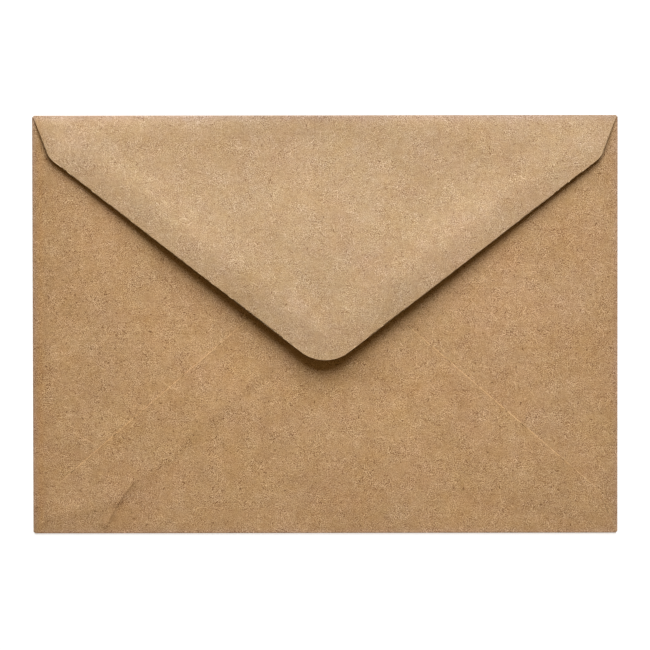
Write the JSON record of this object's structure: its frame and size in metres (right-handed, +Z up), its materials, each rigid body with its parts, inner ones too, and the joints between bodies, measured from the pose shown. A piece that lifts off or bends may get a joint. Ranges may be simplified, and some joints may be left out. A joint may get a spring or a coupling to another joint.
{
  "type": "paper envelope",
  "caption": "Kraft paper envelope folded from a single sheet, shown from the back with a pointed seal flap lying closed but unsealed over glued side and bottom flaps.",
  "frame": {"origin": "middle of the closed outline, on the surface that the envelope lies on (the front panel's outer face)", "axes": "+Z up from the front panel through the flaps, +X along the width to the right as the flaps are seen from above, +Y towards the top fold that carries the seal flap"},
  "size_m": [0.175, 0.125, 0.0062],
  "materials": {
    "kraft_paper": "matte"
  },
  "bodies": {
    "root": {"envelope": "kraft_paper"}
  },
  "joints": []
}
